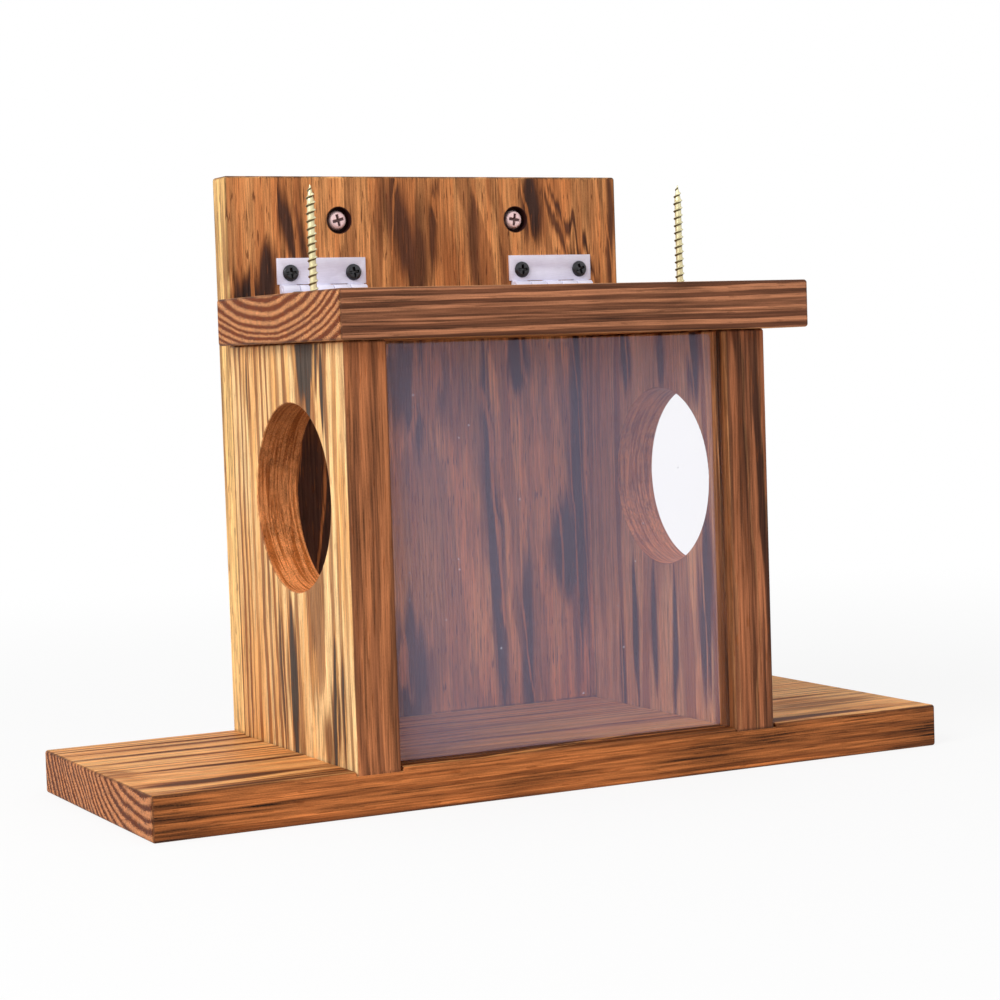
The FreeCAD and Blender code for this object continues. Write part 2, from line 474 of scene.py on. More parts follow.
@dataclass(frozen=True)
class TorchedPine:
    """Pine that was torched and brushed: growth rings through the whole board, burnt along the grain.

    Lengths are in millimetres. Of a pair, the first is where something starts and the second where it
    is complete.

    Attributes:
        name: The board's node.
        low: The board's lowest corner.
        high: Its highest corner.
        sawing: How it lies in the log.
        figure: How strongly it shows its rings and its grain.
        tones: Its colours.
        strokes: The passes of the torch.
        bores: Its round holes.
        roughness: Roughness where nothing is burnt.
        specular: Strength of its shine.
        relief: Depth of its relief.
        plain: Distance from an arris at which the wood is no longer scorched.
        bore_rim: Distance outside a hole's radius that takes the finish of its wall.
        floor_rim: Distance past a hole's floor that takes it.
        shade_reach: Distance from the brightest place at which the narrow faces are darker.
        painted_light_reach: Height below which a standing board gets painted light.
        face_step: Half the depth in which a burn changes to that of the far face.
    """

    name: str
    low: Place
    high: Place
    sawing: Sawing
    figure: Figure
    tones: PineTones = PineTones()
    strokes: tuple[Stroke, ...] = ()
    bores: tuple[Bore, ...] = ()
    roughness: float = 0.55
    specular: float = 0.12
    relief: float = 0.25
    plain: Pair = (0.1, 1.3)
    bore_rim: Pair = (0.45, 0.05)
    floor_rim: Pair = (0.3, 0.1)
    shade_reach: Pair = (30.0, 150.0)
    painted_light_reach: Pair = (150.0, 105.0)
    face_step: float = 1.0

    def material(self) -> bpy.types.Material:
        """Write the finish as a material."""
        return PinePaint(self).written()


class PinePaint(Paint):
    """The graph of a board's finish, with what its parts share.

    Attributes:
        pine: The finish that is written.
        spot: Place on the axes of the feeder's frame, in millimetres.
        point: Place along, across and through the board, in millimetres.
        layer: The layers of noise there.
        sanded: Mask of sanded hole walls.
        burnt: Mask of unsanded hole walls, which take burnt wood and painted shade.
        rise: How high in its hole a sanded wall lies, from -1 to 1; it sets the painted light and shade on
            the wall.
        end: Mask of the board's ends.
        narrow: Mask of its narrow faces.
        rough_cut: Mask of hole walls that cut the fibres across.
        drift: How far the rings wander, in millimetres.
        number: The growth ring's number.
        late: Mask of a ring's dark wood.
        line: Mask of the bright line inside it.
        heat: How much the torch has burnt the wood.
    """

    def __init__(self, pine: TorchedPine) -> None:
        """Read what the parts of the finish share.

        Args:
            pine: The finish to write.
        """
        super().__init__(pine.name)
        self.pine = pine
        saw = pine.sawing
        self.spot = self.place()
        facing = self.facing()
        self.point = [self.spot[axis] for axis in (saw.along, saw.across, saw.through)]
        self.layer = {layer: layer.value.read(self, self.point, saw.seed) for layer in Layer}
        self.sanded, self.burnt, self.rise = self._holes()
        self.end = facing[saw.along].ease(0.55, 0.85) * (1 - self.sanded)
        self.narrow = facing[saw.through].ease(0.97, 0.75) * (1 - self.end) * (1 - self.sanded)
        self.rough_cut = facing[saw.along].ease(0.3, 0.9) * self.sanded
        self.drift = self.layer[Layer.BEND] * (4 * saw.sway) + self.layer[Layer.RIPPLE] * saw.sway
        ring = self._ring()
        self.number = ring.floor()
        phase = ring - self.number
        start = self.chance(self.number + saw.seed * 3.7) * 0.2 + (0.8 - pine.figure.late)
        self.late = phase.ease(start, start + 0.15) * phase.ease(1.0, 0.93)
        self.line = phase.ease(0.82, 0.89) * phase.ease(1.0, 0.95)
        self.heat = self._heat()

    def written(self) -> bpy.types.Material:
        """Write the finish.

        Returns:
            The material.
        """
        pine, tones, layer = self.pine, self.pine.tones, self.layer
        pore = layer[Layer.PORE].ease(0.19, 0.26) * (1 - self.end)
        wood = self.blend(self.sanded, self._face(), self._wall())
        wood = self.blend(self.end, wood, self.blend(self.late ** 1.4, tones.end_pale, tones.end_ring))
        wood = self.blend(pore * pine.figure.pores * (1 - self.sanded), wood, tones.ring)
        wood = self.shaded(wood, self._grain() + (self.rough_cut * 0.25 + 1.0))
        wood = self.blend(self._arris() * 0.8, wood, tones.scorch)
        # Unsanded hole walls: burnt wood and painted shade in the hole
        wood = self.blend(self.burnt, wood, tones.sunk)
        relief = self.late * 0.5 + (layer[Layer.STREAK] + layer[Layer.HAIR]) * 0.8
        relief = relief - pore * 0.7 - self.heat * 0.15
        return self.surface(
            {
                "Base Color": wood,
                "Roughness": self.heat * 0.12 + layer[Layer.STREAK] * 0.2 + pine.roughness,
                "Specular IOR Level": pine.specular,
                "Normal": self.bump(relief, pine.relief, 0.7),
            }
        )

    def _holes(self) -> tuple[Operand, Operand, Operand]:
        """The walls of round holes.

        Returns:
            The masks of sanded walls and of burnt walls, which also carry painted shade, and how high in
            its hole a sanded wall lies.
        """
        a, u, t = self.point
        sanded: Operand = 0.0
        burnt: Operand = 0.0
        rise: Operand = 0.0
        for bore in self.pine.bores:
            du, da = u - bore.across, a - bore.along
            wall = ((du * du + da * da) ** 0.5).ease(*(bore.radius + rim for rim in self.pine.bore_rim))
            wall = wall * t.ease(*(bore.floor + rim for rim in self.pine.floor_rim))
            if bore.sanded:
                sanded = wall + sanded
                rise = wall * da * (1 / bore.radius) + rise
            else:
                burnt = wall + burnt
        return sanded, burnt, rise

    def _ring(self) -> Expr:
        """Growth rings, counted from the pith.

        Returns:
            The ring's number, with the share of the ring that has been passed as its fraction.
        """
        saw = self.pine.sawing
        a, u, t = self.point
        du = (u - saw.pith_across) * saw.flatten
        dt = t - saw.pith_through - a * saw.lean
        radius = (du * du + dt * dt) ** 0.5 + self.drift
        scale = saw.ring_at / (saw.crowding * saw.ring_width)
        ring = (radius.most(1.0) * (1 / saw.ring_at)) ** saw.crowding * scale
        ring = ring + (self.noise(ring * 0.27, saw.seed, 0.0, 0.0) - 0.5) * 1.4
        ring = ring + self.layer[Layer.HAIR] * 0.22 * (1 - self.end)
        return ring + self.layer[Layer.GRIT] * self.end * 0.9

    def _heat(self) -> Expr:
        """How much the torch has burnt the board, with the painted shade along the base's window groove.

        Returns:
            The heat: 0 where nothing is burnt, about 1 and more where the wood is charred.
        """
        saw, figure, streak = self.pine.sawing, self.pine.figure, self.layer[Layer.STREAK]
        a, u, t = self.point
        fringe = self.noise(u * 0.30, saw.seed + 3.0, 0.0, 1.0) - 0.5
        fray = fringe * 1.2 + streak * 1.2
        waver = self.noise(a * 0.02 + saw.seed, u * 0.04, 0.0, 1.0) - 0.5
        swayed = u + self.drift * 0.5 + waver * (2 * saw.sway) + streak * 1.6
        patchy = self.noise(a * 0.010, u * 0.055, self.number * 0.9 + saw.seed, 1.0)
        heat: Operand = 0.0
        for stroke in self.pine.strokes:
            da = (a - stroke.along) * (1 / stroke.half_length) + fray
            middle = da * (stroke.slant * stroke.half_length) + stroke.across
            du = (swayed - middle) * (1 / stroke.half_width)
            spread = 1.35 - abs(du) - da * da
            heat = (spread.least(1.0) * stroke.heat).most(heat)
        core = (self.pine.low[saw.through] + self.pine.high[saw.through]) / 2
        near = t.ease(core + self.pine.face_step, core - self.pine.face_step)
        heat = (near * (1 - figure.far_burn) + figure.far_burn) * heat
        heat = (patchy.ease(0.54, 0.84) * figure.scatter).most(heat)
        luck = self.chance(self.number * 1.31 + saw.seed)
        return heat + (luck - 0.5) * heat * figure.patchwork

    def _face(self) -> Expr:
        """The colour of the wide and narrow faces with their burns.

        Returns:
            The colour.
        """
        saw, figure, tones, layer = self.pine.sawing, self.pine.figure, self.pine.tones, self.layer
        a, u, _ = self.point
        vigour = self.noise(a * 0.011, self.number * 5.13, saw.seed, 1.0).ease(0.30, 0.66)
        bold = (self.chance(self.number * 2.17 + saw.seed) * 0.6 + vigour * 0.5).ease(0.15, 0.85)
        bold = bold * (1 - figure.even) + figure.even
        ripe = (layer[Layer.STREAK] + layer[Layer.CLOUD] + u * figure.ripening).ease(-0.22, 0.22)
        wide = self.blend(ripe, tones.pale, tones.amber)
        wide = self.blend(self.late * bold * figure.contrast, wide, tones.ring)
        band = self.late * bold * figure.edge_contrast
        lines = layer[Layer.STREAK] * 0.5 + layer[Layer.THREAD] * 1.9 + layer[Layer.CLOUD]
        lines = lines.ease(0.0, 0.4) * (0.9 * figure.edge_contrast)
        edge = self.blend(band.most(lines), tones.edge_pale, tones.edge_ring)
        scorched = self.blend(self.heat.ease(0.45, 0.95), tones.ember, tones.char)
        scorched = self.blend(self.line * 0.8, scorched, tones.amber)
        shown = self.heat.ease(0.05, 0.7) * (1 - self.narrow * (1 - figure.edge_burn))
        return self.blend(shown, self.blend(self.narrow, wide, edge), scorched)

    def _wall(self) -> Expr:
        """The colour of sanded hole walls, lined by the cutter, with painted light low in the hole, where
        the wall faces up, and painted shade at the top.

        Returns:
            The colour.
        """
        a, u, t = self.point
        turned = self.noise(t * 0.9 + self.pine.sawing.seed, a * 0.04, u * 0.04, 2.0)
        bored = self.blend(turned.ease(0.42, 0.64) * 0.8, self.pine.tones.wall, self.pine.tones.ring)
        # Painted light and shade: lighter low in the hole, darker high in it
        return self.shaded(bored, 1.0 - self.rise * 0.42)

    def _grain(self) -> Expr:
        """The fine grain.

        Returns:
            How much lighter or darker it makes the wood.
        """
        figure, layer, narrow = self.pine.figure, self.layer, self.narrow
        a, u, t = self.point
        flecks = layer[Layer.FLECK] * (0.9 - narrow * 0.55)
        fine = layer[Layer.STREAK] * 0.9 + layer[Layer.FIBRE] + flecks + layer[Layer.HAIR]
        grain = fine * (narrow * 0.5 + figure.grain - self.rough_cut * 0.7)
        specks = self.rough_cut * 1.4 + self.end * 0.7 + self.sanded * 0.7 + 0.4
        chatter = self.noise(a * 0.22, u * 0.05, t * 0.12, 1.0) - 0.5
        grain = grain + layer[Layer.GRIT] * specks + chatter * self.sanded * 0.7
        off = abs(a - figure.bright_at).ease(*self.pine.shade_reach)
        grain = grain + (layer[Layer.GLOW] * 0.8 - off * figure.end_shade) * narrow
        # Painted light on the lower part of a standing board, inside the feeder
        return grain + a.ease(*self.pine.painted_light_reach) * figure.low_painted_light

    def _arris(self) -> Expr:
        """The scorched arrises, from the distance to the board's own faces.

        Returns:
            The mask, from 0 to 1.
        """
        near = []
        for value, low, high in zip(self.spot, self.pine.low, self.pine.high):
            near.append((value - low).least(high - value).ease(*self.pine.plain))
        first, second, third = near
        middle = first.least(second).most(first.most(second).least(third))
        return (1 - middle) * (self.layer[Layer.CLOUD] + self.layer[Layer.HAIR]).ease(-0.2, 0.05)


@dataclass(frozen=True)
class Metal:
    """A metal finish with fine wear, and painted shade where a screw's mesh is marked for it: in the cross
    recess and on the thread's lower flank.
    """

    name: str
    colour: RGB
    worn: RGB
    roughness: float
    metallic: float
    brush: Optional[Axis] = None
    grime: Optional[RGB] = None
    coat: float = 0.0
    wear: float = 0.5
    coat_roughness: float = 0.18
    relief: float = 0.02
    streaks_per_mm: float = 4.0
    blotches_per_mm: float = 0.16
    brush_stretch: float = 0.08

    def material(self) -> bpy.types.Material:
        """Write the finish as a material.

        Returns:
            The material.
        """
        paint = Paint(self.name)
        place = paint.place()
        stretch = [self.brush_stretch if axis == self.brush else 1.0 for axis in Axis]
        streak = paint.noise(*[p * (self.streaks_per_mm * s) for p, s in zip(place, stretch)], 3.0)
        blotch = paint.noise(*[p * self.blotches_per_mm for p in place], 3.0)
        colour = paint.blend(blotch.ease(0.35, 0.75) * self.wear, self.colour, self.worn)
        if self.grime is not None:
            # Painted shade in the cross recess and on the thread's lower flank, as marked in the mesh
            shade = paint.out(paint.node("ShaderNodeAttribute", {"attribute_name": "grime"}), "Fac")
            colour = paint.blend(shade * 0.9, colour, self.grime)
        colour = paint.shaded(colour, streak * 0.24 + 0.88)
        return paint.surface(
            {
                "Base Color": colour,
                "Metallic": self.metallic,
                "Roughness": streak * 0.16 + blotch * 0.12 + (self.roughness - 0.14),
                "Coat Weight": self.coat,
                "Coat Roughness": self.coat_roughness,
                "Normal": paint.bump(streak, self.relief, 0.5),
            }
        )


@dataclass(frozen=True)
class ClearSheet:
    """Clear or hazy plastic that lets most light straight through."""

    name: str
    colour: RGB
    haze: float
    roughness: float
    specks: float = 0.0
    speck_colour: RGB = (0.95, 0.95, 0.97)
    specks_per_mm: float = 0.5
    ripples_per_mm: float = 0.03
    refraction: float = 1.49

    def material(self) -> bpy.types.Material:
        """Write the finish as a material.

        Returns:
            The material.
        """
        paint = Paint(self.name)
        place = paint.place()
        ripple = paint.noise(*[p * self.ripples_per_mm for p in place], 2.0)
        speck = paint.noise(*[p * self.specks_per_mm for p in place], 0.0).ease(0.80, 0.86) * self.specks
        return paint.surface(
            {
                "Base Color": paint.blend(speck, self.colour, self.speck_colour),
                "Alpha": ripple * (0.3 * self.haze) + speck * 0.3 + 0.85 * self.haze,
                "Roughness": ripple * 0.1 + self.roughness,
                "IOR": self.refraction,
            }
        )


class Finish(Enum):
    """The finishes of the metal and plastic pieces, named as the record's slots are."""

    HINGE_STEEL = Metal(
        "hinge_steel", tone(230, 228, 244), tone(212, 208, 228), roughness=0.6, metallic=0.15, brush=Axis.X
    )
    # The dark colours given as grime are painted shade for the screws' cross recesses and thread flanks
    BLACK_SCREW = Metal(
        "black_screw", tone(34, 35, 40), tone(20, 20, 24), roughness=0.3, metallic=0.5,
        grime=tone(5, 5, 6), coat=0.35,
    )
    YELLOW_ZINC = Metal(
        "yellow_zinc", tone(228, 220, 178), tone(206, 194, 142), roughness=0.36, metallic=0.5,
        grime=tone(78, 70, 42),
    )
    PLATED_SCREW = Metal(
        "plated_screw", tone(242, 212, 212), tone(224, 184, 186), roughness=0.42, metallic=0.4,
        grime=tone(60, 16, 18),
    )
    CLEAR_SHEET = ClearSheet("clear_sheet", tone(236, 240, 246), haze=0.012, roughness=0.06)
    FILM = ClearSheet("protective_film", tone(218, 210, 250), haze=0.08, roughness=0.42, specks=0.5)

    def made(self) -> bpy.types.Material:
        """The finish's material, written once."""
        return bpy.data.materials.get(f"{self.value.name}_finish") or self.value.material()


class HeadForm(Enum):
    """Screw heads as steps of (share of the way, share of the radius, share of the height)."""

    DOMED = (
        (0.0, 0.0, 0.0), (0.40, 0.62, 0.04), (0.54, 0.80, 0.12), (0.65, 0.93, 0.34), (0.73, 1.0, 0.68),
        (0.79, 1.0, 0.94), (0.82, 0.98, 1.0), (0.92, 0.4, 1.0), (1.0, 0.0, 1.0),
    )
    COUNTERSUNK = (
        (0.0, 0.0, 0.0), (0.35, 0.45, 0.0), (0.62, 0.96, 0.0), (0.66, 1.0, 0.03), (0.72, 1.0, 0.17),
        (0.92, 0.5, 1.0), (1.0, 0.0, 1.0),
    )


@dataclass(frozen=True)
class ScrewSize:
    """The sizes of a screw, in millimetres."""

    head_radius: float
    head_height: float
    core_radius: float
    crest_radius: float
    pitch: float
    length: float
    tip: float


def input_name(size: str) -> str:
    """The name that a screw size has among the tree's inputs."""
    return size.replace("_", " ").capitalize()


@dataclass
class ScrewTree:
    """A node tree that makes cross-headed screws at the points of a mesh.

    Attributes:
        head: The heads' form.
        turns_round: Points round one turn of the thread.
        thread_rows: Points across one pitch.
        head_round: Points round the head.
        head_steps: Points from the head's middle to its underside.
        arm_length: Length of the recess's arms, as a share of the head's radius.
        arm_width: Half their width, as such a share.
        smooth_below: Angle of edges, in radians, below which they are shaded smooth.
        seam: Points closer than this are joined, in millimetres.
    """

    head: HeadForm
    turns_round: int = 28
    thread_rows: int = 17
    head_round: int = 80
    head_steps: int = 44
    arm_length: float = 0.62
    arm_width: float = 0.15
    smooth_below: float = 0.6
    seam: float = 0.002

    def made(self) -> bpy.types.NodeTree:
        """Build the tree, or find it where it was built before.

        Returns:
            The tree.
        """
        name = "cross_head_screw_" + self.head.name.lower()
        found = bpy.data.node_groups.get(name)
        if found:
            return found
        tree = bpy.data.node_groups.new(name, "GeometryNodeTree")
        tree.interface.new_socket("Geometry", in_out="OUTPUT", socket_type="NodeSocketGeometry")
        kinds = {"Points": "Geometry", "Direction": "Vector"}
        kinds.update({input_name(size.name): "Float" for size in fields(ScrewSize)})
        kinds.update({"Seed": "Int", "Material": "Material"})
        for label, kind in kinds.items():
            tree.interface.new_socket(label, in_out="INPUT", socket_type="NodeSocket" + kind)
        graph = Graph(tree)
        given = graph.node("NodeGroupInput")
        value = {label: graph.out(given, label) for label in kinds}
        real = graph.node("GeometryNodeRealizeInstances", None, {0: self._placed(graph, value)})
        sockets = {"Geometry": graph.out(real), "Material": value["Material"]}
        dressed = graph.node("GeometryNodeSetMaterial", None, sockets)
        graph.node("NodeGroupOutput", None, {0: graph.out(dressed)})
        return tree

    def _placed(self, graph: Graph, value: dict[str, Expr]) -> Expr:
        """Screws as instances on the points, each turned by chance.

        Args:
            graph: The tree's graph.
            value: The tree's inputs by name.

        Returns:
            The instances.
        """
        both = graph.node("GeometryNodeJoinGeometry")
        for shell in (self._head(graph, value), self._thread(graph, value)):
            graph.tree.links.new(shell.socket, both.inputs[0])
        edge = graph.out(graph.node("GeometryNodeInputMeshEdgeAngle"))
        sockets = {0: edge, 1: self.smooth_below}
        soft = graph.node("FunctionNodeCompare", {"operation": "LESS_THAN"}, sockets)
        sockets = {0: graph.out(both), 1: graph.out(soft)}
        smooth = graph.node("GeometryNodeSetShadeSmooth", {"domain": "EDGE"}, sockets)
        sockets = {"Vector": value["Direction"]}
        upright = graph.node("FunctionNodeAlignRotationToVector", {"axis": "Z"}, sockets)
        sockets = {2: 0.0, 3: math.tau, "Seed": value["Seed"]}
        angle = graph.node("FunctionNodeRandomValue", {"data_type": "FLOAT"}, sockets)
        sockets = {"Axis": (0, 0, 1), "Angle": graph.out(angle, 1)}
        spin = graph.node("FunctionNodeAxisAngleToRotation", None, sockets)
        sockets = {"Rotation": graph.out(upright), "Rotate By": graph.out(spin)}
        turned = graph.node("FunctionNodeRotateRotation", {"rotation_space": "LOCAL"}, sockets)
        sockets = {"Points": value["Points"], "Instance": graph.out(smooth), "Rotation": graph.out(turned)}
        return graph.out(graph.node("GeometryNodeInstanceOnPoints", None, sockets))

    @staticmethod
    def _grid(graph: Graph, columns: Operand, rows: int) -> tuple[Expr, Expr, Expr]:
        """A unit grid with its two shares.

        Args:
            graph: The tree's graph.
            columns: Points one way.
            rows: Points the other way.

        Returns:
            The mesh and the shares along it, both from 0 to 1.
        """
        made = graph.node("GeometryNodeMeshGrid", None, {0: 1.0, 1: 1.0, 2: columns, 3: rows})
        x, y, _ = graph.parts(graph.out(graph.node("GeometryNodeInputPosition")))
        return graph.out(made), x + 0.5, y + 0.5

    def _shaped(
        self, graph: Graph, mesh: Expr, angle: Expr, radius: Expr, height: Expr, grime: Expr
    ) -> Expr:
        """A grid wrapped round the screw's axis and closed.

        Args:
            graph: The tree's graph.
            mesh: The grid.
            angle: Angle of each point.
            radius: Radius of each point.
            height: Height of each point.
            grime: Painted shade at each point, in the cross recess and on the thread's lower flank, kept
                for the finish.

        Returns:
            The closed shell.
        """
        # Keeps the mask of painted shade on the mesh
        marked = graph.node(
            "GeometryNodeStoreNamedAttribute",
            {"data_type": "FLOAT", "domain": "POINT"},
            {"Geometry": mesh, "Name": "grime", "Value": grime},
        )
        x, y = (graph.math(wave, angle) * radius for wave in ("COSINE", "SINE"))
        sockets = {"Geometry": graph.out(marked), "Position": graph.vector(x, y, height)}
        wrapped = graph.node("GeometryNodeSetPosition", None, sockets)
        sockets = {0: graph.out(wrapped), "Distance": self.seam * MM}
        return graph.out(graph.node("GeometryNodeMergeByDistance", None, sockets))

    def _head(self, graph: Graph, value: dict[str, Expr]) -> Expr:
        """The head with its cross recess.

        Args:
            graph: The tree's graph.
            value: The tree's inputs by name.

        Returns:
            The head's shell.
        """
        mesh, turn, way = self._grid(graph, self.head_round + 1, self.head_steps)
        shares = [[(step[0], step[k]) for step in self.head.value] for k in (1, 2)]
        drawn = [graph.node("ShaderNodeFloatCurve", {"curve": sorted(s)}, {"Value": way}) for s in shares]
        radius = graph.out(drawn[0]) * value["Head radius"]
        base = 0.0 if self.head is HeadForm.COUNTERSUNK else 1.0
        height = (graph.out(drawn[1]) - base) * value["Head height"]
        angle = turn * math.tau
        reaches = [abs(graph.math(wave, angle) * radius) for wave in ("COSINE", "SINE")]
        arm_x, arm_y = (reach / value["Head radius"] for reach in reaches)
        one = (arm_x - self.arm_length).most(arm_y - self.arm_width)
        other = (arm_y - self.arm_length).most(arm_x - self.arm_width)
        # The cross recess, marked for painted shade
        cross = one.least(other).ease(0.02, -0.05) * way.ease(0.62, 0.52)
        depth = cross * value["Head radius"] * (0.42 - arm_x.most(arm_y) * 0.3)
        return self._shaped(graph, mesh, angle, radius, height + depth, cross)

    def _thread(self, graph: Graph, value: dict[str, Expr]) -> Expr:
        """The threaded shank with its point: one strip a pitch wide, wound so that its edges meet.

        Args:
            graph: The tree's graph.
            value: The tree's inputs by name.

        Returns:
            The shank's shell.
        """
        turns = (value["Length"] / value["Pitch"]).floor() + 2.0
        mesh, way, across = self._grid(graph, turns * self.turns_round + 1.0, self.thread_rows)
        wound = way * turns
        raised = (1 - abs(across - 0.5) * 5.3).most(0.0)
        # The thread's lower flank, marked for painted shade
        flank = across.ease(0.20, 0.31) * across.ease(0.54, 0.47)
        level = (wound + across - 1.0) * value["Pitch"]
        height = level.most(0.0).least(value["Length"])
        left = value["Length"] - height
        core = value["Core radius"] * ((left / value["Tip"]).least(1.0) ** 0.75)
        crest = (value["Crest radius"] - value["Core radius"]) * (left / (value["Tip"] * 0.45)).least(1.0)
        started = graph.math("GREATER_THAN", level, 0.0)
        radius = (core + crest * raised) * started
        return self._shaped(graph, mesh, wound * math.tau, radius, height, flank)


@dataclass
class ScrewSet:
    """Like screws that stand for one CAD node; seats in millimetres."""

    node: str
    body: str
    seats: list[Place]
    direction: Place
    finish: Finish
    head: HeadForm
    size: ScrewSize
    seed: int

    def build(self) -> None:
        """Make the screws and put them in the CAD node's place."""
        mesh = bpy.data.meshes.new(self.node + "_seats")
        mesh.from_pydata([[c * MM for c in seat] for seat in self.seats], [], [])
        piece = linked(self.node + "_detailed", mesh)
        modifier = piece.modifiers.new("screws", "NODES")
        modifier.node_group = ScrewTree(self.head).made()
        given = {input_name(name): size * MM for name, size in asdict(self.size).items()}
        given.update({"Direction": self.direction, "Seed": self.seed, "Material": self.finish.made()})
        for socket in modifier.node_group.interface.items_tree:
            if socket.in_out == "INPUT" and socket.name in given:
                modifier[socket.identifier] = given[socket.name]
        settled(piece)
        stand_in(piece, self.body, self.node)


def linked(name: str, data: Any) -> bpy.types.Object:
    """An object with its data, put into the scene.

    Args:
        name: The object's name.
        data: Its mesh, light or camera.

    Returns:
        The object.
    """
    made = bpy.data.objects.new(name, data)
    bpy.context.scene.collection.objects.link(made)
    return made


def settled(piece: bpy.types.Object) -> None:
    """Turn a piece's modifiers into plain mesh with its faces outwards.

    Args:
        piece: The piece to settle.
    """
    graph = bpy.context.evaluated_depsgraph_get()
    mesh = bpy.data.meshes.new_from_object(piece.evaluated_get(graph))
    piece.modifiers.clear()
    piece.data = mesh
    work = bmesh.new()
    work.from_mesh(mesh)
    bmesh.ops.recalc_face_normals(work, faces=work.faces)
    work.to_mesh(mesh)
    work.free()


def stand_in(piece: bpy.types.Object, body: str, node: str) -> None:
    """Let a piece ride on a body and stand for a CAD node.

    Args:
        piece: The finished piece.
        body: The body that it moves with.
        node: The CAD node that it stands for.
    """
    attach(piece, body)
    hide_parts(node)
    log.info("%s rides on %s with %d faces", piece.name, body, len(piece.data.polygons))


def dress(node: str, material: bpy.types.Material) -> None:
    """Give a CAD node its finish.

    Args:
        node: The node's name.
        material: The finish.
    """
    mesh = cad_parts[node].data
    mesh.materials.clear()
    mesh.materials.append(material)
    log.info("%s is dressed with %s", node, material.name)


def box_mm(node: str) -> tuple[Place, Place]:
    """A CAD node's corners in millimetres.

    Args:
        node: The node's name.

    Returns:
        The lowest and the highest corner.
    """
    low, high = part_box(node)
    return tuple(c / MM for c in low), tuple(c / MM for c in high)


